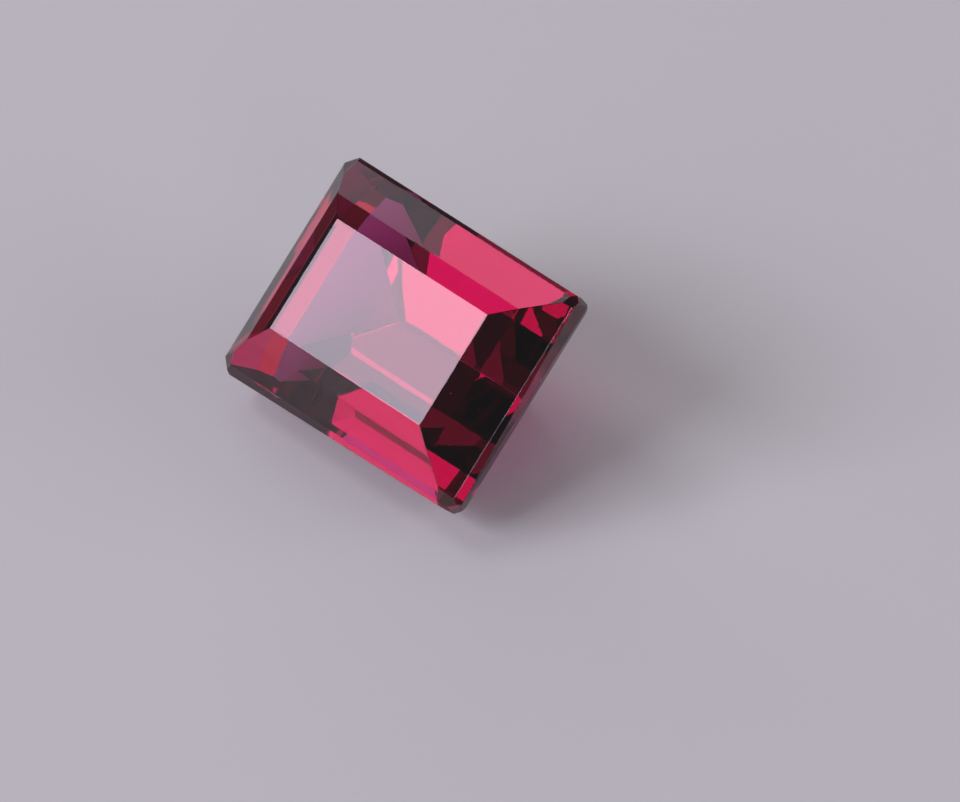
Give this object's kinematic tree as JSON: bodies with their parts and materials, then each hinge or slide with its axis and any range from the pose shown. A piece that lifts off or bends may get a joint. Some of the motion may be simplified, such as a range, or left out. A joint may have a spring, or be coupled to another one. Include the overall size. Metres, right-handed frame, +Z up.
{
  "type": "faceted rhodolite garnet",
  "caption": "Loose step-cut rectangular garnet with small clipped corners and a deep pavilion, lying on one long pavilion facet.",
  "frame": {"origin": "on the surface the stone lies on, under the middle of its bounding box", "axes": "+X along the stone's long axis, +Z up, the table leaning towards -Y"},
  "size_m": [0.008, 0.0054, 0.0048],
  "materials": {
    "rhodolite": "polished, see-through crimson crystal"
  },
  "bodies": {
    "root": {"garnet": "rhodolite"}
  },
  "joints": []
}
